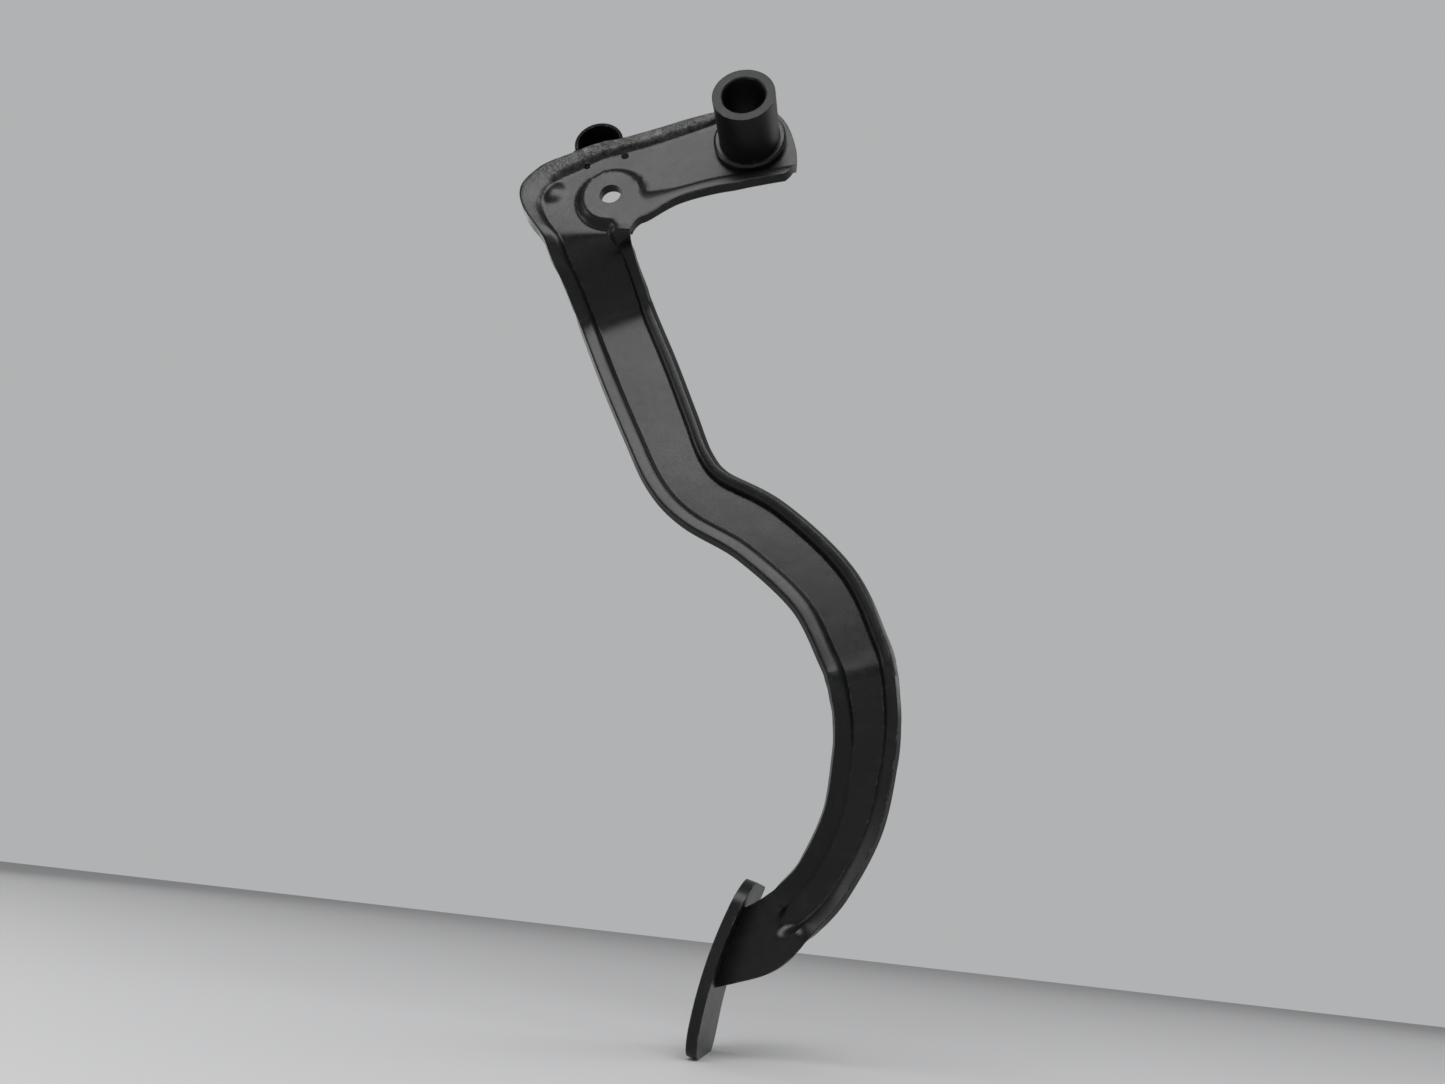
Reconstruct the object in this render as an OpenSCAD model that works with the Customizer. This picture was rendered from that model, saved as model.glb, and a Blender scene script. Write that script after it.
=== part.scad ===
// Clutch pedal lever: one pressed steel sheet with a swaged panel, a pivot tube
// with its collar, a rear spring seat and a curved pad plate.
// X runs to the right, Y away from the viewer and Z up, in millimetres.
// The origin lies on the pivot axis, in the front face of the head's panel.

/* [Pivot] */
// Outer diameter of the pivot tube
tube_d = 22; // [19:0.5:24]
// Wall of the pivot tube
tube_wall = 3.5; // [2.5:0.1:4.5]
// How far the pivot tube stands in front of the panel
tube_front = 23.5; // [16:0.5:40]
// How far the pivot tube stands out behind the sheet
tube_rear = 4; // [3:0.5:20]
// Chamfer at both mouths of the bore
tube_chamfer = 0.5; // [0.2:0.1:0.8]
// Width of the collar's ring round the tube
collar_w = 2.2; // [1.5:0.1:3]
// Height of the collar over the panel
collar_h = 3; // [2:0.5:5]
// Leg of the weld behind the sheet
weld_leg = 2.2; // [1.5:0.1:2.8]

/* [Sheet] */
// Thickness of the steel sheet
sheet_t = 3.6; // [3:0.1:4]
// Height of the rims over the sunk panel
rim_h = 3.4; // [2:0.1:4]
// Width of the rims along the arm
arm_rim_w = 6.6; // [5:0.1:7.5]
// Width of the flange along the head's top edge
top_rim_w = 5.6; // [5:0.1:7]
// Width of the raised strip along the head's lower edge
low_rim_w = 6.4; // [5:0.1:7.5]
// Width of sheet left above and below the tube
head_margin = 7.5; // [6.5:0.1:8.5]
// Width of sheet left at the head's end, past the tube
end_margin = 6.2; // [5:0.1:8]
// Width of the arm below the jog
arm_w = 28; // [26:0.5:30]
// Width of the arm before the pad
arm_end_w = 20.6; // [18:0.2:22]
// How far the jog carries the arm behind the head
jog = 23; // [16:1:30]
// How far the lower arm leans back between its bend and the pad
lean = 38; // [25:1:45]

/* [Pushrod eye] */
// Diameter of the pushrod pin's hole
eye_d = 7.8; // [6:0.1:10]
// Diameter of the raised boss round the hole
boss_d = 21; // [18:0.5:23]
// Width of the boss's sloping wall
boss_wall = 2.4; // [1.5:0.1:3]
// Diameter of the pressed locating nub
nub_d = 8.4; // [6:0.2:9]
// Height of the nub over the panel
nub_h = 1.5; // [0.8:0.1:2]

/* [Spring seat] */
// Outer diameter of the rear spring seat
seat_d = 18.6; // [16:0.2:20]
// Depth of the rear spring seat
seat_depth = 9; // [6:0.5:14]
// Wall of the rear spring seat
seat_wall = 1.2; // [1:0.1:2]

/* [Pad] */
// Height of the pad plate
pad_h = 56; // [46:0.2:64]
// Width of the pad plate, along the pivot's direction
pad_w = 46; // [38:1:60]
// Thickness of the pad plate
pad_t = 3.6; // [3:0.1:5]
// Radius to which the pad plate is curved
pad_r = 140; // [110:5:200]
// Radius of the pad plate's corners
pad_corner_r = 9; // [5:0.5:14]

/* [Hidden] */

black = [0.07, 0.07, 0.075];
curve_fn = 96;
steps = 3;
// Reach of a cutter past what it cuts
reach = 30;

// Places on the lever
eye_x = -48;
eye_z = -25.6;
nub_x = -70.6;
nub_z = -22.6;
seat_x = -58.2;
seat_z = 3.2;
pad_x = 8.4;
pad_z = -278.6;
pad_tilt = 14;
// Depth of the pad's middle behind the head's panel
pad_y = jog + lean + 7;

// Centre of the head's inner corner and radius of the centreline round it
bend_x = -31.5;
bend_z = -41;
bend_r = 22;
inner_r = 7;
// Angle up to which the nub's dome rises before its flat middle
dome_to = 85;

half = tube_d / 2 + head_margin;
end_x = tube_d / 2 + end_margin;
arm_half = arm_w / 2;
end_half = arm_end_w / 2;
mid_half = (arm_half + end_half) / 2;
bend_in = bend_r - inner_r;
// How deep the boss is rooted in the sheet
boss_root = 0.4;
// Height at which the lower arm begins to lean back
lean_z = -191;
in_rim_w = arm_rim_w - 1.6;
// Width of the raised strip where it runs into the boss
boss_rim_w = low_rim_w + 6.6;
collar_chamfer = 0.8;

// A point of the centreline on its round stretch, at an angle from +X
function corner(a) = [bend_x + bend_r * cos(a), bend_z + bend_r * sin(a)];

// Depth behind the head, from the share of the jog and the height over the lower bend
function depth_at(share, z) = jog * share + lean * max(0, lean_z - z) / (lean_z - pad_z);

// One station: centreline, half width outside and inside, rim width outside and
// inside, share of the jog, sunk share of the panel, flat share of the inner rim,
// share of the outer rim's height
function station(p, out, in, rim_out, rim_in, share, sunk = 1, flat = 0, rise = 1) =
    [p[0], p[1], out, in, rim_out, rim_in, depth_at(share, p[1]), sunk, flat, rise];

stations = [
    station([end_x, -4], half + 2.9, half - 5.9, top_rim_w - 2.4, low_rim_w, 0, 1, 1, 0.2),
    station([8, -5], half + 3.9, half - 4.8, top_rim_w - 2.4, low_rim_w, 0, 1, 1, 0.25),
    station([0, -6.2], half + 4.5, half - 4.7, top_rim_w - 2.2, low_rim_w, 0, 1, 1, 0.4),
    station([-14, -9.8], half + 3.4, half - 5.6, top_rim_w - 0.4, low_rim_w, 0, 1, 1, 0.9),
    station([-28, -15.2], half + 3.3, half - 5.9, top_rim_w, low_rim_w + 0.6, 0, 1, 1),
    station(corner(112), 23, bend_in, top_rim_w, boss_rim_w, 0, 1, 1, 0.95),
    station(corner(124), 25, bend_in, top_rim_w + 0.8, boss_rim_w, 0, 1, 1, 0.85),
    station(corner(136), 27.6, bend_in, top_rim_w + 2.2, boss_rim_w - 0.5, 0, 1, 1, 0.7),
    station(corner(148), 32.4, bend_in, top_rim_w + 3.8, boss_rim_w - 1, 0, 1, 1, 0.55),
    station(corner(160), 33.4, bend_in, top_rim_w + 4.4, boss_rim_w - 2, 0, 1, 0.95, 0.5),
    station(corner(170), 26.2, bend_in, arm_rim_w + 1.6, boss_rim_w - 3, 0, 1, 0.8, 0.6),
    station(corner(181), 18.6, bend_in, arm_rim_w + 0.6, boss_rim_w - 4.4, 0.03, 1, 0.55, 0.8),
    station(corner(193), 15.6, bend_in, arm_rim_w, low_rim_w, 0.18, 1, 0.25),
    station([-51.2, -50.4], arm_half + 0.4, arm_half + 0.6, arm_rim_w, in_rim_w, 0.45),
    station([-47.9, -57.4], arm_half + 0.2, arm_half + 0.3, arm_rim_w, in_rim_w, 0.82),
    station([-44.6, -64.6], arm_half, arm_half, arm_rim_w, in_rim_w, 1),
    station([-34.6, -84.4], arm_half, arm_half, arm_rim_w, in_rim_w, 1),
    station([-24.4, -104.6], arm_half - 0.6, arm_half - 0.6, arm_rim_w, in_rim_w, 1),
    station([-15.6, -121.4], mid_half + 0.4, mid_half + 0.6, arm_rim_w, in_rim_w, 1),
    station([-5.6, -132.2], mid_half - 0.6, mid_half + 0.6, arm_rim_w, in_rim_w, 1),
    station([14.4, -142.8], mid_half - 0.6, mid_half + 1.1, arm_rim_w, in_rim_w, 1),
    station([36.2, -161.6], end_half + 0.8, end_half + 2.6, arm_rim_w, in_rim_w, 1),
    station([47.6, -181.4], end_half + 0.4, end_half + 1.8, arm_rim_w, in_rim_w, 1),
    station([50.6, -188.6], end_half + 0.3, end_half + 1.3, arm_rim_w, in_rim_w, 1),
    station([52.3, -195], end_half + 0.2, end_half + 0.8, arm_rim_w, in_rim_w, 1),
    station([53.6, -203], end_half, end_half + 0.3, arm_rim_w, in_rim_w, 1),
    station([53.8, -214], end_half, end_half - 0.3, arm_rim_w, in_rim_w, 1),
    station([51.4, -232.6], end_half, end_half - 1.2, arm_rim_w, in_rim_w, 1),
    station([43.6, -250.6], end_half, end_half - 2, arm_rim_w, in_rim_w, 1),
    station([35.4, -260.4], end_half, end_half - 1.4, arm_rim_w, in_rim_w, 1),
    station([31.6, -264], end_half, end_half - 0.6, arm_rim_w, in_rim_w, 1, 0.8),
    station([27.8, -267], end_half, end_half + 0.2, arm_rim_w, in_rim_w, 1, 0.1),
    station([22, -270.6], end_half, end_half + 0.7, arm_rim_w, in_rim_w, 1, 0),
    station([14, -274.8], end_half, end_half - 0.4, arm_rim_w, in_rim_w, 1, 0),
    station([0, -282], end_half, end_half - 3, arm_rim_w, in_rim_w, 1, 0)
];

// Smooth curve through the stations, at a place u between stations i and i + 1
function blend(a, b, c, d, u) =
    0.5 * (2 * b + (c - a) * u + (2 * a - 5 * b + 4 * c - d) * u * u
           + (3 * b - a - 3 * c + d) * u * u * u);
function at(i) = stations[max(0, min(len(stations) - 1, i))];
path = [for (i = [0 : len(stations) - 2]) for (k = [0 : steps - 1])
        blend(at(i - 1), at(i), at(i + 1), at(i + 2), k / steps)];
last = len(path) - 1;

// Direction square to the centreline, towards the outer edge
function side(i) =
    let (a = path[max(i - 1, 0)], b = path[min(i + 1, last)],
         d = [b[0] - a[0], b[1] - a[1]])
    [d[1], -d[0]] / norm(d);

// Share of the rim's width from the panel outwards, and its height there
rim_at = [1, 0.66, 0.34, 0.12, 0];
slope_at = [1, 0.72, 0.42, 0.17, 0];
land_at = [0.88, 0.96, 0.96, 0.5, 0];
rims = len(rim_at);
// Points across the panel between the rims
panel_n = 3;
across = 2 * rims + panel_n;

// The head's end is cut to a curve: share of its reach at each height
end_curve = [[-19, 0.62], [-17.6, 0.76], [-16, 0.87], [-14, 0.95], [-11, 1], [-4, 1],
             [0, 0.97], [4, 0.92], [8, 0.85], [11, 0.76], [14, 0.63], [16, 0.5],
             [17.4, 0.36]];
curve_from = -4;
function ended(x, z) =
    x < curve_from || z < -2 * half ? x : curve_from + (x - curve_from) * lookup(z, end_curve);

function rim_height(k, flat) = slope_at[k] * (1 - flat) + land_at[k] * flat;

// How far a rim's back corner stands out past its front corner
function lip(rim_w, sunk) =
    let (slope = sunk * rim_h * (slope_at[0] - slope_at[1]) / (rim_w * (rim_at[0] - rim_at[1])))
    sheet_t * slope / sqrt(1 + slope * slope);

// Point j of section i on the front face
function front_point(i, j, n) =
    let (s = path[i], k = min(j, across - 1 - j), outer = j < rims,
         out_w = s[4] - lip(s[4], s[7] * s[9]),
         in_w = s[5] - lip(s[5], s[7]) * (1 - s[8]),
         u = (j - rims + 1) / (panel_n + 1),
         w = k >= rims ? (s[2] - s[4]) * (1 - u) + (s[5] - s[3]) * u
           : outer ? s[2] - s[4] + out_w * rim_at[k] : s[5] - s[3] - in_w * rim_at[k],
         h = k >= rims ? 0 : outer ? slope_at[k] * s[9] : rim_height(k, s[8]),
         x = s[0] + n[0] * w, z = s[1] + n[1] * w)
    [ended(x, z), s[6] - rim_h * (h * s[7] + 1 - s[7]), z];

fronts = [for (i = [0 : last]) let (n = side(i)) [for (j = [0 : across - 1]) front_point(i, j, n)]];
function front(i, j) = fronts[i][j];

// The back face lies one sheet behind, square to the front face
function normal(i, j) =
    let (a = front(max(i - 2, 0), j), b = front(min(i + 2, last), j),
         c = front(i, max(j - 1, 0)), d = front(i, min(j + 1, across - 1)),
         n = cross(b - a, d - c))
    n / norm(n);
function back(i, j) =
    let (n = normal(i, j))
    front(i, j) + sheet_t * (n[1] > 0 ? n : -n);

ring = 2 * across;
skin_points = [for (i = [0 : last]) for (j = [0 : ring - 1])
               j < across ? front(i, j) : back(i, ring - 1 - j)];
skin_faces = concat(
    [for (i = [0 : last - 1]) for (j = [0 : ring - 1])
     let (a = i * ring + j, b = i * ring + (j + 1) % ring)
     each [[a, b, b + ring], [a, b + ring, a + ring]]],
    [for (j = [0 : across - 2]) let (a = j, b = ring - 1 - j)
     each [[a, b, b - 1], [a, b - 1, a + 1]]],
    [for (j = [0 : across - 2]) let (a = last * ring + j, b = last * ring + ring - 1 - j)
     each [[a, b - 1, b], [a, a + 1, b - 1]]]);

// Turns a shape drawn in XZ to stand on the front face, with its height along -Y
module facing() rotate([90, 0, 0]) children();

module pressed_sheet() polyhedron(points = skin_points, faces = skin_faces, convexity = 12);

module eye_boss() translate([eye_x, 0, eye_z]) facing() rotate_extrude($fn = curve_fn)
    polygon([[0, -boss_root], [boss_d / 2 + boss_wall * (1 + boss_root / rim_h), -boss_root],
             [boss_d / 2, rim_h], [0, rim_h]]);

// The pressed boss is hollow from behind
module eye_hollow() translate([eye_x, 0, eye_z]) facing() rotate_extrude($fn = curve_fn)
    polygon([[0, -2 * sheet_t], [boss_d / 2 + boss_wall * (sheet_t / rim_h - 0.2), -2 * sheet_t],
             [boss_d / 2 - boss_wall, rim_h - sheet_t], [0, rim_h - sheet_t]]);

// The locating nub is pressed out of the panel, so it leaves a dimple behind
module nub() translate([nub_x, 0, nub_z]) facing() rotate_extrude($fn = curve_fn / 2)
    polygon(concat([[0, -sheet_t / 2], [nub_d / 2, -sheet_t / 2]],
                   [for (a = [10 : 15 : dome_to]) [nub_d / 2 * cos(a), nub_h * sin(a)]],
                   [[0, nub_h * sin(dome_to)]]));
module nub_dimple() translate([nub_x, 0, nub_z]) facing() rotate_extrude($fn = curve_fn / 2)
    polygon([[0, -sheet_t - 1], [nub_d / 2 - nub_h / 2, -sheet_t - 1],
             [nub_d / 2 - nub_h, nub_h - sheet_t], [0, nub_h - sheet_t]]);

module lever() color(black) difference() {
    union() {
        pressed_sheet();
        eye_boss();
        nub();
    }
    eye_hollow();
    nub_dimple();
    translate([eye_x, 0, eye_z]) facing()
        cylinder(h = reach, d = eye_d, center = true, $fn = curve_fn);
    facing() cylinder(h = reach, d = tube_d, center = true, $fn = curve_fn);
    pad_side();
}

module pivot_tube() color(black) facing() rotate_extrude($fn = curve_fn)
    let (r = tube_d / 2 - tube_wall, c = tube_chamfer, low = -sheet_t - tube_rear)
    polygon([[r, low + c], [r + c, low], [tube_d / 2, low], [tube_d / 2, tube_front],
             [r + c, tube_front], [r, tube_front - c]]);

module tube_collar() color(black) facing() rotate_extrude($fn = curve_fn)
    let (r = tube_d / 2, out = tube_d / 2 + collar_w, c = collar_chamfer)
    polygon([[r, 0], [out, 0], [out, collar_h - c], [out - c, collar_h], [r, collar_h]]);

module tube_weld() color(black) facing() translate([0, 0, -sheet_t])
    rotate_extrude($fn = curve_fn)
        polygon([[tube_d / 2, 0], [tube_d / 2 + weld_leg, 0], [tube_d / 2, -weld_leg]]);

module spring_seat() color(black) translate([seat_x, sheet_t, seat_z]) facing()
    translate([0, 0, -seat_depth]) difference() {
        cylinder(h = seat_depth, d = seat_d, $fn = curve_fn);
        translate([0, 0, seat_wall])
            cylinder(h = seat_depth, d = seat_d - 2 * seat_wall, $fn = curve_fn);
    }

// Frame of the pad plate: its driver's face looks along -X, its height along Z
module pad_frame() translate([pad_x, pad_y, pad_z]) rotate([0, pad_tilt, 0]) children();

// Everything on the driver's side of the pad plate's back face
module pad_side() pad_frame() translate([pad_r, 0, 0]) rotate([90, 0, 0]) difference() {
    cylinder(h = pad_w, r = pad_r + reach, center = true, $fn = 4 * curve_fn);
    cylinder(h = pad_w + 1, r = pad_r - pad_t, center = true, $fn = 4 * curve_fn);
    translate([reach - pad_r, -2 * pad_r, -pad_w]) cube([2 * pad_r, 4 * pad_r, 2 * pad_w]);
}

module rounded_plate(w, h, r) {
    square([w - 2 * r, h], center = true);
    square([w, h - 2 * r], center = true);
    for (x = [-1, 1], y = [-1, 1]) translate([x * (w / 2 - r), y * (h / 2 - r)])
        circle(r = r, $fn = curve_fn);
}

module pad_plate() color(black) pad_frame() intersection() {
    translate([pad_r, 0, 0]) rotate([90, 0, 0]) difference() {
        cylinder(h = pad_w, r = pad_r, center = true, $fn = 4 * curve_fn);
        cylinder(h = pad_w + 1, r = pad_r - pad_t, center = true, $fn = 4 * curve_fn);
    }
    translate([-5, 0, 0]) rotate([90, 0, 90]) linear_extrude(20)
        rounded_plate(pad_w, pad_h, pad_corner_r);
}

lever();
pivot_tube();
tube_collar();
tube_weld();
spring_seat();
pad_plate();
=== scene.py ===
"""Looks of the clutch pedal: satin black paint on a pressed steel lever, in soft studio light."""

import math

import bmesh
import bpy
import numpy as np
from mathutils import Euler, Matrix, Vector


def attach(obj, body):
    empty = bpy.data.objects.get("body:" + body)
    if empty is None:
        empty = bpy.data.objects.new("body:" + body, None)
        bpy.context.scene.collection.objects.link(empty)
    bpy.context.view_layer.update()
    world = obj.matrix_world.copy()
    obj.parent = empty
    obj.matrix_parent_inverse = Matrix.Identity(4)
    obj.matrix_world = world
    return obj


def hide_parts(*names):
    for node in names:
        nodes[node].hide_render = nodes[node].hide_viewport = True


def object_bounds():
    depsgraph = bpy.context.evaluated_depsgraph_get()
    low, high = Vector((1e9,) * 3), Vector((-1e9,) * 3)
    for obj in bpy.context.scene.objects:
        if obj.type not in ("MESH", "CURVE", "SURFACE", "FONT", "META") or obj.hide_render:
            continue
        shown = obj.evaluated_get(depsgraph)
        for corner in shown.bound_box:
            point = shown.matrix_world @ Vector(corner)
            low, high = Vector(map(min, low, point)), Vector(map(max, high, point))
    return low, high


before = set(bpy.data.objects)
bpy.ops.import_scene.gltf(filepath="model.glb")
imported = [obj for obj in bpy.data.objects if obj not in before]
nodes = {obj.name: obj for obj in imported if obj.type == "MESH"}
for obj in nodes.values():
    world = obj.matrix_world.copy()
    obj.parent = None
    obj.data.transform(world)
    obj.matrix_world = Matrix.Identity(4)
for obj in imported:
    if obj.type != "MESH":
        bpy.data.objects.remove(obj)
cad_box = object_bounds()
MM = 0.001

# Camera: the photograph's viewpoint, turn and field of view
PHOTO_W = 1445
PHOTO_FOCAL_PX = 1052
SENSOR_MM = 36.0
CAMERA_AT_MM = (56.15, -305.85, -266.58)
CAMERA_TURN_DEG = (109.918, -6.007, 7.108)

# Grit caught under the paint along the panel's creases, in millimetres
GRIT = ((-59.8, 0, -10.5), (-46.0, 0, -5.9), (-58.5, 0, -19.9))
# Colours of the paint, of the dust on it and of its worn edges; the last, dimmed, is also the
# painted reflection on the head's top flange
PAINT = (0.0036, 0.0038, 0.0042)
DUST = (0.022, 0.022, 0.0215)
WORN_AND_REFLECTED = (0.07, 0.069, 0.066)


def make_camera():
    data = bpy.data.cameras.new("camera")
    data.sensor_width = SENSOR_MM
    data.lens = SENSOR_MM * PHOTO_FOCAL_PX / PHOTO_W
    data.clip_start, data.clip_end = 0.01, 50
    cam = bpy.data.objects.new("camera", data)
    cam.location = Vector(CAMERA_AT_MM) * MM
    cam.rotation_euler = Euler([math.radians(a) for a in CAMERA_TURN_DEG])
    bpy.context.collection.objects.link(cam)
    bpy.context.scene.camera = cam


def area_light(name, towards, distance, size, power, centre=Vector((0, 0.03, -0.13))):
    """A square lamp that stands in a direction from the object and looks at its middle."""
    data = bpy.data.lights.new(name, "AREA")
    data.shape, data.size, data.size_y = "RECTANGLE", size[0], size[1]
    data.energy = power
    lamp = bpy.data.objects.new(name, data)
    lamp.location = centre + Vector(towards).normalized() * distance
    lamp.rotation_euler = (centre - lamp.location).to_track_quat("-Z", "Y").to_euler()
    bpy.context.collection.objects.link(lamp)
    return lamp


def make_lights():
    area_light("overhead", (-0.02, -0.83, 0.57), 1.4, (1.15, 0.75), 24)
    area_light("high_right", (0.42, -0.49, 0.76), 1.5, (0.5, 0.5), 5)
    area_light("left_fill", (-0.87, -0.45, 0.17), 1.5, (0.45, 0.7), 2.5)
    area_light("rear_left", (-0.88, 0.5, 0.4), 1.6, (0.8, 0.8), 3.5)
    area_light("rear_right", (0.88, 0.5, 0.4), 1.6, (0.8, 0.8), 5)
    area_light("left_low", (-0.97, -0.24, 0.02), 1.2, (0.5, 0.2), 1.1)


def make_world():
    """Pale behind the object, darker where the viewer stands."""
    world = bpy.data.worlds.new("studio")
    bpy.context.scene.world = world
    world.use_nodes = True
    nt = world.node_tree
    nt.nodes.clear()
    out = nt.nodes.new("ShaderNodeOutputWorld")
    bg = nt.nodes.new("ShaderNodeBackground")
    ramp = nt.nodes.new("ShaderNodeValToRGB")
    sep = nt.nodes.new("ShaderNodeSeparateXYZ")
    coord = nt.nodes.new("ShaderNodeTexCoord")
    span = nt.nodes.new("ShaderNodeMapRange")
    nt.links.new(coord.outputs["Generated"], sep.inputs[0])
    nt.links.new(sep.outputs["Y"], span.inputs["Value"])
    span.inputs["From Min"].default_value = -1
    nt.links.new(span.outputs[0], ramp.inputs[0])
    ramp.color_ramp.elements[0].position = 0.1
    ramp.color_ramp.elements[0].color = (0.1, 0.101, 0.103, 1)
    ramp.color_ramp.elements[1].position = 0.62
    ramp.color_ramp.elements[1].color = (0.44, 0.445, 0.45, 1)
    nt.links.new(ramp.outputs[0], bg.inputs["Color"])
    nt.links.new(bg.outputs[0], out.inputs[0])


def make_floor(low):
    size = 4.0
    mesh = bpy.data.meshes.new("floor")
    s = size / 2
    mesh.from_pydata([(-s, -s, 0), (s, -s, 0), (s, s, 0), (-s, s, 0)], [], [(0, 1, 2, 3)])
    floor = bpy.data.objects.new("floor", mesh)
    floor.location = (0, 0, low)
    bpy.context.collection.objects.link(floor)
    mat = bpy.data.materials.new("floor")
    mat.use_nodes = True
    bsdf = mat.node_tree.nodes["Principled BSDF"]
    bsdf.inputs["Base Color"].default_value = (0.43, 0.43, 0.435, 1)
    bsdf.inputs["Roughness"].default_value = 0.7
    mesh.materials.append(mat)


class Nodes:
    """Short ways to add the nodes that the paints share."""

    def __init__(self, tree):
        self.tree = tree
        coord = tree.nodes.new("ShaderNodeTexCoord")
        self.place = coord.outputs["Object"]
        self.facing = coord.outputs["Normal"]

    def feed(self, socket, value):
        if isinstance(value, bpy.types.NodeSocket):
            self.tree.links.new(value, socket)
        else:
            socket.default_value = value

    def noise(self, scale, detail=2, rough=0.5, kind="FBM"):
        n = self.tree.nodes.new("ShaderNodeTexNoise")
        n.noise_type = kind
        n.inputs["Scale"].default_value = scale
        n.inputs["Detail"].default_value = detail
        n.inputs["Roughness"].default_value = rough
        self.feed(n.inputs["Vector"], self.place)
        return n.outputs["Fac"]

    def spread(self, source, start, stop, low=0.0, high=1.0):
        m = self.tree.nodes.new("ShaderNodeMapRange")
        for name, value in (("From Min", start), ("From Max", stop), ("To Min", low),
                            ("To Max", high), ("Value", source)):
            self.feed(m.inputs[name], value)
        return m.outputs[0]

    def math(self, operation, a, b=0.0):
        m = self.tree.nodes.new("ShaderNodeMath")
        m.operation = operation
        self.feed(m.inputs[0], a)
        self.feed(m.inputs[1], b)
        return m.outputs[0]

    def dot(self, a, b):
        m = self.tree.nodes.new("ShaderNodeVectorMath")
        m.operation = "DOT_PRODUCT"
        self.feed(m.inputs[0], a)
        self.feed(m.inputs[1], b)
        return m.outputs["Value"]

    def mix(self, factor, a, b):
        m = self.tree.nodes.new("ShaderNodeMix")
        m.data_type = "RGBA"
        self.feed(m.inputs["Factor"], factor)
        self.feed(m.inputs["A"], a)
        self.feed(m.inputs["B"], b)
        return m.outputs["Result"]

    def bevel(self, radius):
        n = self.tree.nodes.new("ShaderNodeBevel")
        n.samples = 6
        n.inputs["Radius"].default_value = radius * MM
        return n.outputs[0]

    def bump(self, height, depth, strength=1.0, normal=None):
        n = self.tree.nodes.new("ShaderNodeBump")
        n.inputs["Strength"].default_value = strength
        n.inputs["Distance"].default_value = depth * MM
        self.feed(n.inputs["Height"], height)
        if normal is not None:
            self.feed(n.inputs["Normal"], normal)
        return n.outputs[0]


def paint(name, rough=0.29, gloss_level=0.21, peel_depth=0.012, mottle=0.0):
    """Satin black paint on steel: orange peel, cloudy gloss, dust and worn edges; with mottle, also
    grit and a painted reflection in lighter scaly patches on the head's flange.
    """
    mat = bpy.data.materials.new(name)
    mat.use_nodes = True
    bsdf = mat.node_tree.nodes["Principled BSDF"]
    n = Nodes(mat.node_tree)
    bsdf.inputs["Specular IOR Level"].default_value = gloss_level

    clouds = n.noise(24, 4, 0.6)
    grain = n.noise(900, 3, 0.7)
    dust = n.spread(n.noise(260, 5, 0.75), 0.5, 0.75)
    geometry = mat.node_tree.nodes.new("ShaderNodeNewGeometry")
    edge = n.spread(n.dot(n.bevel(0.9), geometry.outputs["Normal"]), 0.995, 0.9)
    worn = n.math("MULTIPLY", edge, n.spread(n.noise(420, 4, 0.7), 0.52, 0.62))

    black = n.mix(n.spread(clouds, 0.3, 0.7), (*PAINT, 1), (*[1.7 * c for c in PAINT], 1))
    dusty = n.mix(n.math("MULTIPLY", dust, 0.25), black, (*DUST, 1))
    bsdf_colour = n.mix(n.math("MULTIPLY", worn, 0.7), dusty, (*WORN_AND_REFLECTED, 1))
    if mottle:
        reflection_map = mat.node_tree.nodes.new("ShaderNodeAttribute")
        reflection_map.attribute_name = "painted_reflection"
        flange = reflection_map.outputs["Fac"]
        # Painted reflection: lighter scaly patches on the head's top flange stand in for the
        # mirrored surroundings; the same pattern also bumps the flange
        reflection_pattern = n.math("MULTIPLY", flange, n.spread(n.noise(300, 4, 0.65), 0.35, 0.65))
        bsdf_colour = n.mix(reflection_pattern, bsdf_colour, (*[mottle * c for c in WORN_AND_REFLECTED], 1))
        grit = None
        for spot in GRIT:
            near = mat.node_tree.nodes.new("ShaderNodeVectorMath")
            near.operation = "DISTANCE"
            n.feed(near.inputs[0], n.place)
            near.inputs[1].default_value = [c * MM for c in spot]
            close = n.spread(n.math("ADD", near.outputs["Value"], n.math("MULTIPLY", grain, MM)),
                             1.9 * MM, 1.3 * MM)
            grit = close if grit is None else n.math("MAXIMUM", grit, close)
        bsdf_colour = n.mix(grit, bsdf_colour, (0.001, 0.001, 0.001, 1))
    n.feed(bsdf.inputs["Base Color"], bsdf_colour)

    gloss = n.spread(clouds, 0.3, 0.7, rough - 0.04, rough + 0.05)
    gloss = n.math("ADD", gloss, n.spread(dust, 0, 1, 0, 0.08))
    gloss = n.math("ADD", gloss, n.spread(grain, 0.35, 0.65, -0.02, 0.02))
    if mottle:
        gloss = n.math("ADD", gloss, n.math("MULTIPLY", grit, 0.6))
    n.feed(bsdf.inputs["Roughness"], gloss)

    normal = n.bump(n.noise(70, 2), 0.25, 0.5, n.bevel(0.45))
    normal = n.bump(grain, peel_depth, 1, normal)
    if mottle:
        normal = n.bump(reflection_pattern, 0.35, 1, normal)
        normal = n.bump(grit, 1.2, 1, normal)
    n.feed(bsdf.inputs["Normal"], normal)
    return mat


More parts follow.
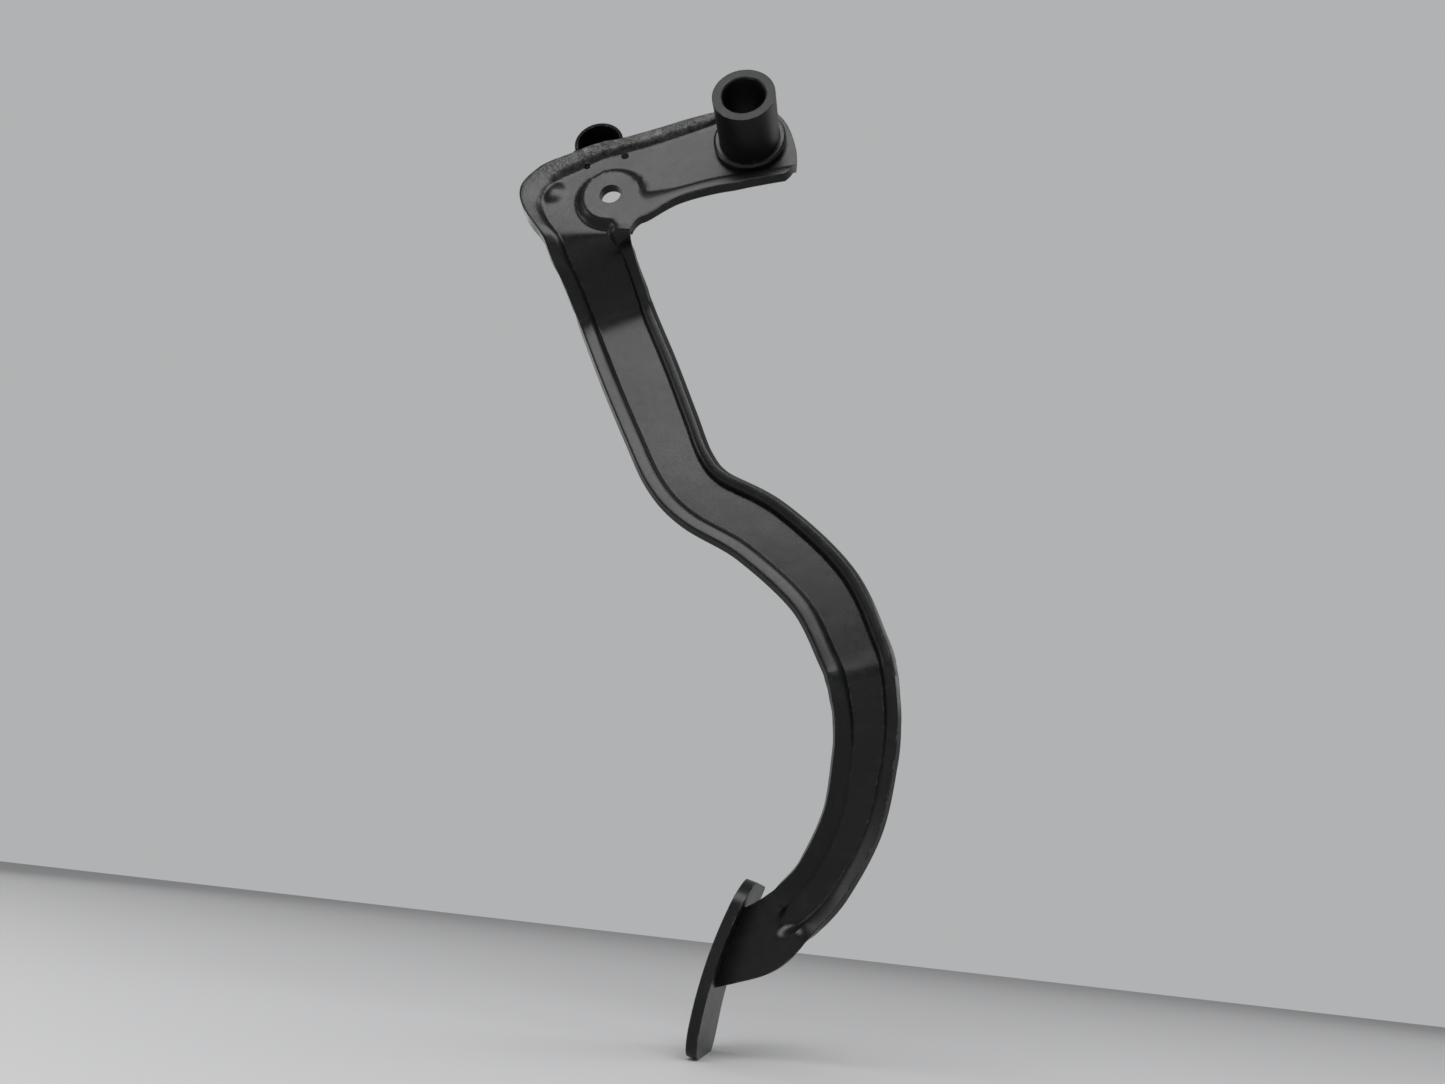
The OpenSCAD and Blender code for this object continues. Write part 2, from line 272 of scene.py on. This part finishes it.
def smooth_modifier():
    """Node group that welds a solid's facets and shades them smooth up to a sharp angle."""
    group = bpy.data.node_groups.new("smooth_by_angle", "GeometryNodeTree")
    group.interface.new_socket("Geometry", in_out="INPUT", socket_type="NodeSocketGeometry")
    group.interface.new_socket("Geometry", in_out="OUTPUT", socket_type="NodeSocketGeometry")
    new, link = group.nodes.new, group.links.new
    start, end = new("NodeGroupInput"), new("NodeGroupOutput")
    weld = new("GeometryNodeMergeByDistance")
    weld.inputs["Distance"].default_value = 0.01 * MM
    drop = new("GeometryNodeRemoveAttribute")
    drop.inputs["Name"].default_value = "custom_normal"
    faces = new("GeometryNodeSetShadeSmooth")
    edges = new("GeometryNodeSetShadeSmooth")
    edges.domain = "EDGE"
    edges.inputs["Shade Smooth"].default_value = False
    angle = new("GeometryNodeInputMeshEdgeAngle")
    sharp = new("FunctionNodeCompare")
    sharp.operation = "GREATER_THAN"
    sharp.inputs[1].default_value = math.radians(32)
    link(start.outputs[0], weld.inputs["Geometry"])
    link(weld.outputs[0], drop.inputs["Geometry"])
    link(drop.outputs[0], faces.inputs["Geometry"])
    link(faces.outputs[0], edges.inputs["Geometry"])
    link(angle.outputs["Unsigned Angle"], sharp.inputs[0])
    link(sharp.outputs[0], edges.inputs["Selection"])
    link(edges.outputs[0], end.inputs[0])
    return group


# The lever's sheet, in millimetres: the same stations as its solid
SHEET_T, RIM_H = 3.6, 3.4
arm_rim_w, in_rim_w, top_rim_w, low_rim_w = 6.6, 5.0, 5.6, 6.4
boss_rim_w = low_rim_w + 6.6
half, end_x, arm_half, end_half = 18.5, 17.2, 14.0, 10.3
mid_half = (arm_half + end_half) / 2
bend_in = 15
JOG, LEAN, LEAN_Z, PAD_AT = 23, 38, -191, (8.4, 68, -278.6)
PAD_TILT, PAD_BACK_R, PAD_R = 14, 136.4, 140
EYE, EYE_D, BOSS_R, BOSS_FOOT_R = (-48, -25.6), 7.8, 10.2, 13.6
NUB, NUB_R, NUB_H = (-70.6, -22.6), 5.4, 1.1
TUBE_D = 22
SEAT, SEAT_D = (-58.2, 3.2), 18.6
STEPS = 10


def corner(angle):
    a = math.radians(angle)
    return [-31.5 + 22 * math.cos(a), -41 + 22 * math.sin(a)]


def station(p, out, inner, rim_out, rim_in, share, sunk=1, flat=0, rise=1):
    """Centreline, half widths, rim widths, depth, sunk share, flat share and rise."""
    depth = JOG * share + LEAN * max(0, LEAN_Z - p[1]) / (LEAN_Z - PAD_AT[2])
    return [p[0], p[1], out, inner, rim_out, rim_in, depth, sunk, flat, rise]


STATIONS = [
    station([end_x, -4], half + 2.9, half - 5.9, top_rim_w - 2.4, low_rim_w, 0, 1, 1, 0.2),
    station([8, -5], half + 3.9, half - 4.8, top_rim_w - 2.4, low_rim_w, 0, 1, 1, 0.25),
    station([0, -6.2], half + 4.5, half - 4.7, top_rim_w - 2.2, low_rim_w, 0, 1, 1, 0.4),
    station([-14, -9.8], half + 3.4, half - 5.6, top_rim_w - 0.4, low_rim_w, 0, 1, 1, 0.9),
    station([-28, -15.2], half + 3.3, half - 5.9, top_rim_w, low_rim_w + 0.6, 0, 1, 1),
    station(corner(112), 23, bend_in, top_rim_w, boss_rim_w, 0, 1, 1, 0.95),
    station(corner(124), 25, bend_in, top_rim_w + 0.8, boss_rim_w, 0, 1, 1, 0.85),
    station(corner(136), 27.6, bend_in, top_rim_w + 2.2, boss_rim_w - 0.5, 0, 1, 1, 0.7),
    station(corner(148), 32.4, bend_in, top_rim_w + 3.8, boss_rim_w - 1, 0, 1, 1, 0.55),
    station(corner(160), 33.4, bend_in, top_rim_w + 4.4, boss_rim_w - 2, 0, 1, 0.95, 0.5),
    station(corner(170), 26.2, bend_in, arm_rim_w + 1.6, boss_rim_w - 3, 0, 1, 0.8, 0.6),
    station(corner(181), 18.6, bend_in, arm_rim_w + 0.6, boss_rim_w - 4.4, 0.03, 1, 0.55, 0.8),
    station(corner(193), 15.6, bend_in, arm_rim_w, low_rim_w, 0.18, 1, 0.25),
    station([-51.2, -50.4], arm_half + 0.4, arm_half + 0.6, arm_rim_w, in_rim_w, 0.45),
    station([-47.9, -57.4], arm_half + 0.2, arm_half + 0.3, arm_rim_w, in_rim_w, 0.82),
    station([-44.6, -64.6], arm_half, arm_half, arm_rim_w, in_rim_w, 1),
    station([-34.6, -84.4], arm_half, arm_half, arm_rim_w, in_rim_w, 1),
    station([-24.4, -104.6], arm_half - 0.6, arm_half - 0.6, arm_rim_w, in_rim_w, 1),
    station([-15.6, -121.4], mid_half + 0.4, mid_half + 0.6, arm_rim_w, in_rim_w, 1),
    station([-5.6, -132.2], mid_half - 0.6, mid_half + 0.6, arm_rim_w, in_rim_w, 1),
    station([14.4, -142.8], mid_half - 0.6, mid_half + 1.1, arm_rim_w, in_rim_w, 1),
    station([36.2, -161.6], end_half + 0.8, end_half + 2.6, arm_rim_w, in_rim_w, 1),
    station([47.6, -181.4], end_half + 0.4, end_half + 1.8, arm_rim_w, in_rim_w, 1),
    station([50.6, -188.6], end_half + 0.3, end_half + 1.3, arm_rim_w, in_rim_w, 1),
    station([52.3, -195], end_half + 0.2, end_half + 0.8, arm_rim_w, in_rim_w, 1),
    station([53.6, -203], end_half, end_half + 0.3, arm_rim_w, in_rim_w, 1),
    station([53.8, -214], end_half, end_half - 0.3, arm_rim_w, in_rim_w, 1),
    station([51.4, -232.6], end_half, end_half - 1.2, arm_rim_w, in_rim_w, 1),
    station([43.6, -250.6], end_half, end_half - 2, arm_rim_w, in_rim_w, 1),
    station([35.4, -260.4], end_half, end_half - 1.4, arm_rim_w, in_rim_w, 1),
    station([31.6, -264], end_half, end_half - 0.6, arm_rim_w, in_rim_w, 1, 0.8),
    station([27.8, -267], end_half, end_half + 0.2, arm_rim_w, in_rim_w, 1, 0.1),
    station([22, -270.6], end_half, end_half + 0.7, arm_rim_w, in_rim_w, 1, 0),
    station([14, -274.8], end_half, end_half - 0.4, arm_rim_w, in_rim_w, 1, 0),
    station([0, -282], end_half, end_half - 3, arm_rim_w, in_rim_w, 1, 0)
]

# Height of a rim over the panel, from its crease (0) to its cut edge (1)
RIM_AT = np.array([0, 0.05, 0.1, 0.16, 0.22, 0.3, 0.4, 0.55, 0.7, 0.84, 0.94, 1])
CRISP = np.array([0, 0.1, 0.32, 0.56, 0.72, 0.83, 0.89, 0.93, 0.96, 0.985, 0.99, 0.94])
LAND = np.array([0, 0.05, 0.18, 0.38, 0.58, 0.78, 0.9, 0.95, 0.96, 0.96, 0.95, 0.89])
SOFT = np.interp(RIM_AT, [0, 0.12, 0.34, 0.66, 1], [0, 0.17, 0.42, 0.72, 1])
SOFT_LAND = np.interp(RIM_AT, [0, 0.12, 0.34, 0.66, 1], [0, 0.5, 0.96, 0.96, 0.88])
PANEL_N = 26
# Draft of the cut edges, how much lower the head's flange is drawn, and by how many
# rows the groove's end is rounded
EDGE_DRAFT, HEAD_EASE, GROOVE_END = 0.45, 0.3, 11
# The head's end is cut to a curve: share of its reach at each height
END_Z = [-19, -17.6, -16.4, -15, -13, -11, -8, -4, 0, 4, 8, 11, 14, 16, 17.4]
END_SHARE = [0.6, 0.72, 0.81, 0.88, 0.94, 0.975, 0.995, 1, 0.97, 0.92, 0.85, 0.76, 0.63, 0.5, 0.36]


def sheet_path():
    """Sections along the sheet, on a smooth curve through the stations."""
    table = np.array(STATIONS, dtype=float)
    top = len(table) - 1
    rows = []
    for i in range(top):
        a, b, c, d = (table[min(max(i + k, 0), top)] for k in (-1, 0, 1, 2))
        for k in range(STEPS):
            u = k / STEPS
            rows.append(0.5 * (2 * b + (c - a) * u + (2 * a - 5 * b + 4 * c - d) * u ** 2
                               + (3 * b - a - 3 * c + d) * u ** 3))
    return np.array(rows)


def smooth_step(x, start, stop):
    t = np.clip((x - start) / (stop - start), 0, 1)
    return t * t * (3 - 2 * t)


def sheet_face(path, crisp):
    """Grid of points of the front face; the soft one carries the back face."""
    way = np.gradient(path[:, :2], axis=0)
    way /= np.linalg.norm(way, axis=1)[:, None]
    side = np.stack([way[:, 1], -way[:, 0]], axis=1)
    slope, land = (CRISP, LAND) if crisp else (SOFT, SOFT_LAND)
    columns = []
    tilt = path[:, 7] * RIM_H * 0.28 / (path[:, 4] * 0.34) * path[:, 9]
    lip = SHEET_T * tilt / np.sqrt(1 + tilt ** 2) * (EDGE_DRAFT if crisp else 1)
    tilt_in = path[:, 7] * RIM_H * 0.28 / (path[:, 5] * 0.34)
    lip_in = SHEET_T * tilt_in / np.sqrt(1 + tilt_in ** 2) * (1 - path[:, 8])
    lip_in *= EDGE_DRAFT if crisp else 1
    if crisp:
        even = np.ones(31) / 31
        lip, lip_in = (np.convolve(np.pad(a, 15, mode="edge"), even, "valid")
                       for a in (lip, lip_in))
    # Towards the pad the rims slope evenly, as the back face does
    low = smooth_step(path[:, 1], -186, -216) * crisp
    rise = path[:, 9] * (1 - HEAD_EASE * smooth_step(path[:, 1], -30, -12) * crisp)
    rows = np.arange(len(path))
    for at, h, hs in list(zip(RIM_AT, slope, SOFT))[::-1]:
        h = h * (1 - low) + hs * low
        columns.append((path[:, 2] - path[:, 4] + (path[:, 4] - lip) * at, h * rise, 1))
    for u in np.arange(1, PANEL_N + 1) / (PANEL_N + 1):
        columns.append(((path[:, 2] - path[:, 4]) * (1 - u) + (path[:, 5] - path[:, 3]) * u,
                        0 * rise, (2 * u - 1) ** 2))
    for at, hs, hl, h in zip(RIM_AT, slope, land, SOFT):
        hs = hs * (1 - low) + h * low
        h = hs * (1 - path[:, 8]) + hl * path[:, 8]
        columns.append((path[:, 5] - path[:, 3] - (path[:, 5] - lip_in) * at, h, 1))
    grid = np.zeros((len(path), len(columns), 3))
    for j, (w, h, off) in enumerate(columns):
        sunk = np.interp(rows + GROOVE_END * off, rows, path[:, 7])
        x = path[:, 0] + side[:, 0] * w
        z = path[:, 1] + side[:, 1] * w
        share = np.interp(z, END_Z, END_SHARE)
        x = np.where((x < -4) | (z < -2 * half), x, -4 + (x + 4) * share)
        y = path[:, 6] - RIM_H * (h * sunk + 1 - sunk)
        grid[:, j] = np.stack([x, y, z], axis=1)
    return grid


def press_boss(grid, foot, top, level):
    """Raises the eye's boss to a level, and the nub, out of the sheet."""
    r = np.hypot(grid[..., 0] - EYE[0], grid[..., 2] - EYE[1])
    share = smooth_step(r, foot, top)
    y = grid[..., 1]
    grid[..., 1] = np.minimum(y, y * (1 - share) + level * share)
    r = np.hypot(grid[..., 0] - NUB[0], grid[..., 2] - NUB[1])
    grid[..., 1] -= NUB_H * np.clip(1 - (r / NUB_R) ** 2, 0, 1) ** 1.6


def sheet_mesh():
    path = sheet_path()
    front = sheet_face(path, True)
    press_boss(front, BOSS_FOOT_R, BOSS_R, -RIM_H)
    soft = sheet_face(path, False)
    along = np.gradient(soft, axis=0)
    across = np.gradient(soft, axis=1)
    n = np.cross(along, across)
    n /= np.linalg.norm(n, axis=2)[..., None]
    n *= np.where(n[..., 1:2] > 0, 1, -1)
    flat = smooth_step(soft[..., 2:3], -34, -22)
    n = n * (1 - flat) + np.array([0, 1, 0]) * flat
    back = soft + SHEET_T * n / np.linalg.norm(n, axis=2)[..., None]
    press_boss(back, BOSS_R + 0.8, BOSS_R - 2.4, SHEET_T - RIM_H)
    rows, cols = front.shape[:2]
    points = np.concatenate([front, back[:, ::-1]], axis=1).reshape(-1, 3) * MM
    ring = 2 * cols
    faces = []
    for i in range(rows - 1):
        for j in range(ring):
            a, b = i * ring + j, i * ring + (j + 1) % ring
            faces.append((a, b, b + ring, a + ring))
    for start in (0, (rows - 1) * ring):
        for j in range(cols - 1):
            a, b = start + j, start + ring - 1 - j
            faces.append((a, a + 1, b - 1, b))
    mesh = bpy.data.meshes.new("lever_sheet")
    mesh.from_pydata([tuple(p) for p in points], [], faces)
    bm = bmesh.new()
    bm.from_mesh(mesh)
    bmesh.ops.recalc_face_normals(bm, faces=bm.faces)
    bm.to_mesh(mesh)
    bm.free()
    # The flange along the head's top edge gets a mask for its painted reflection, a lighter mottled
    # pattern, and for scaly bumps under its paint
    painted_reflection = np.zeros((rows, ring))
    rim = 1 - smooth_step(np.arange(cols), len(RIM_AT) - 3, len(RIM_AT) + 1)
    painted_reflection[:, :cols] = rim * (1 - smooth_step(np.arange(rows), 5 * STEPS, 10 * STEPS))[:, None]
    mesh.attributes.new("painted_reflection", "FLOAT", "POINT").data.foreach_set("value", painted_reflection.ravel())
    return mesh


def pin_cutter(x, z, radius, sides=160):
    """A round bar along Y through the sheet."""
    bm = bmesh.new()
    turn = Matrix.Rotation(math.radians(90), 4, "X")
    bmesh.ops.create_cone(bm, cap_ends=True, segments=sides, radius1=radius * MM,
                          radius2=radius * MM, depth=30 * MM,
                          matrix=Matrix.Translation((x * MM, 0, z * MM)) @ turn)
    mesh = bpy.data.meshes.new("cutter")
    bm.to_mesh(mesh)
    bm.free()
    return mesh


def pad_cutter():
    """All that lies on the driver's side of the pad plate's back face."""
    bm = bmesh.new()
    turn = Matrix.Translation(Vector(PAD_AT)) @ Matrix.Rotation(math.radians(PAD_TILT), 4, "Y")
    rows = []
    for k in range(121):
        a = math.radians(-24 + 0.4 * k)
        rows.append([bm.verts.new(turn @ Vector((PAD_R - r * math.cos(a), y, r * math.sin(a))) * MM)
                     for r, y in ((PAD_BACK_R, -60), (PAD_BACK_R + 50, -60),
                                  (PAD_BACK_R + 50, 60), (PAD_BACK_R, 60))])
    for a, b in zip(rows, rows[1:]):
        for k in range(4):
            bm.faces.new((a[k], a[(k + 1) % 4], b[(k + 1) % 4], b[k]))
    bm.faces.new(rows[0])
    bm.faces.new(rows[-1])
    bmesh.ops.recalc_face_normals(bm, faces=bm.faces)
    mesh = bpy.data.meshes.new("cutter")
    bm.to_mesh(mesh)
    bm.free()
    return mesh


def make_lever():
    """The pressed lever with crisp creases, a soft boss and nub, and its holes cut."""
    obj = bpy.data.objects.new("lever_pressing", sheet_mesh())
    bpy.context.collection.objects.link(obj)
    for mesh in (pin_cutter(*EYE, EYE_D / 2), pin_cutter(0, 0, TUBE_D / 2), pad_cutter()):
        cutter = bpy.data.objects.new("cutter", mesh)
        bpy.context.collection.objects.link(cutter)
        cut = obj.modifiers.new("cut", "BOOLEAN")
        cut.operation, cut.solver, cut.object = "DIFFERENCE", "EXACT", cutter
        seen = obj.evaluated_get(bpy.context.evaluated_depsgraph_get())
        mesh = bpy.data.meshes.new_from_object(seen)
        obj.modifiers.clear()
        obj.data = mesh
        bpy.data.objects.remove(cutter)
    return obj


def bead(name, points, radius, closed):
    """A weld bead along points in millimetres: overlapping scales of uneven size."""
    points = np.array(points, dtype=float)
    if closed:
        points = np.concatenate([points, points[:1]])
    run = np.concatenate([[0], np.cumsum(np.linalg.norm(np.diff(points, axis=0), axis=1))])
    count = int(run[-1] / 0.2)
    at = np.linspace(0, run[-1], count, endpoint=not closed)
    line = np.stack([np.interp(at, run, points[:, k]) for k in range(3)], axis=1)
    rng = np.random.default_rng(7)
    reflection_pattern = int(run[-1] / 1.7)
    where = np.linspace(0, reflection_pattern, count, endpoint=not closed)
    uneven = rng.uniform(0.88, 1.08, reflection_pattern + 1)[where.astype(int) % reflection_pattern]
    size = radius * uneven * (0.8 + 0.2 * np.sqrt(1 - (where % 1) ** 2))
    if not closed:
        size *= np.sqrt(np.clip(np.minimum(at, run[-1] - at) / radius, 0.02, 1))
    way = np.gradient(line, axis=0)
    way /= np.linalg.norm(way, axis=1)[:, None]
    up = np.cross(way, np.cross((0.05, 1, 0.03), way))
    up /= np.linalg.norm(up, axis=1)[:, None]
    right = np.cross(way, up)
    bm = bmesh.new()
    rings = []
    for c, u, v, s in zip(line, up, right, size):
        rings.append([bm.verts.new(tuple((c + s * (u * math.cos(a) + v * math.sin(a))) * MM))
                      for a in np.linspace(0, 2 * math.pi, 12, endpoint=False)])
    for a, b in zip(rings, rings[1:] + ([rings[0]] if closed else [])):
        for k in range(12):
            bm.faces.new((a[k], a[(k + 1) % 12], b[(k + 1) % 12], b[k]))
    if not closed:
        bm.faces.new(rings[0])
        bm.faces.new(rings[-1])
    bmesh.ops.recalc_face_normals(bm, faces=bm.faces)
    mesh = bpy.data.meshes.new(name)
    bm.to_mesh(mesh)
    bm.free()
    obj = bpy.data.objects.new(name, mesh)
    bpy.context.collection.objects.link(obj)
    return obj


def tube_bead():
    """The weld behind the sheet, round the pivot tube."""
    circle = np.linspace(0, 2 * math.pi, 240, endpoint=False)
    r = TUBE_D / 2 + 0.7
    return bead("tube_bead", [(r * math.cos(a), SHEET_T + 0.7, r * math.sin(a)) for a in circle],
                1.45, True)


def seat_bead():
    """The weld that holds the spring seat to the back of the head's flange."""
    arc = [math.radians(a) for a in range(205, 336, 3)]
    r = SEAT_D / 2 + 0.2
    return bead("seat_bead", [(SEAT[0] + r * math.cos(a), SHEET_T - 0.3, SEAT[1] + r * math.sin(a))
                              for a in arc], 1.35, False)


def pad_bead(lever):
    """The weld on the hidden side of the lever's end, against the pad plate's back."""
    turn = (Matrix.Translation(Vector(PAD_AT)) @ Matrix.Rotation(math.radians(PAD_TILT), 4, "Y"))
    back = turn.inverted()
    edge = []
    for v in lever.data.vertices:
        p = back @ (v.co / MM)
        if abs(math.hypot(p.x - PAD_R, p.z) - PAD_BACK_R) < 0.02:
            edge.append(p)
    middle = sum((p.y for p in edge)) / len(edge)
    rear = sorted((p for p in edge if p.y > middle + SHEET_T / 3), key=lambda p: p.z)[2:-2]
    return bead("pad_bead", [turn @ (p + Vector((0.6, 0.6, 0))) for p in rear], 1.5, False)


def dress(obj, mat, group):
    obj.data.materials.clear()
    obj.data.materials.append(mat)
    mod = obj.modifiers.new("smooth", "NODES")
    mod.node_group = group


make_camera()
make_world()
make_lights()
make_floor(cad_box[0].z)
smooth = smooth_modifier()
lever = make_lever()
dress(lever, paint("lever_paint", mottle=0.9), smooth)
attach(lever, "root")
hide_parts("lever")
dress(nodes["pivot_tube"], paint("tube_paint", 0.36, 0.16), smooth)
dress(nodes["tube_collar"], paint("collar_paint", 0.27, 0.22), smooth)
weld = paint("weld_paint", 0.3, 0.22, 0.05)
dress(nodes["tube_weld"], weld, smooth)
for piece in (tube_bead(), seat_bead(), pad_bead(lever)):
    dress(piece, weld, smooth)
    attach(piece, "root")
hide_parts("tube_weld")
dress(nodes["spring_seat"], paint("seat_paint", 0.5, 0.03), smooth)
dress(nodes["pad_plate"], paint("pad_paint", 0.32, 0.2), smooth)

bpy.context.scene.view_settings.view_transform = "Standard"
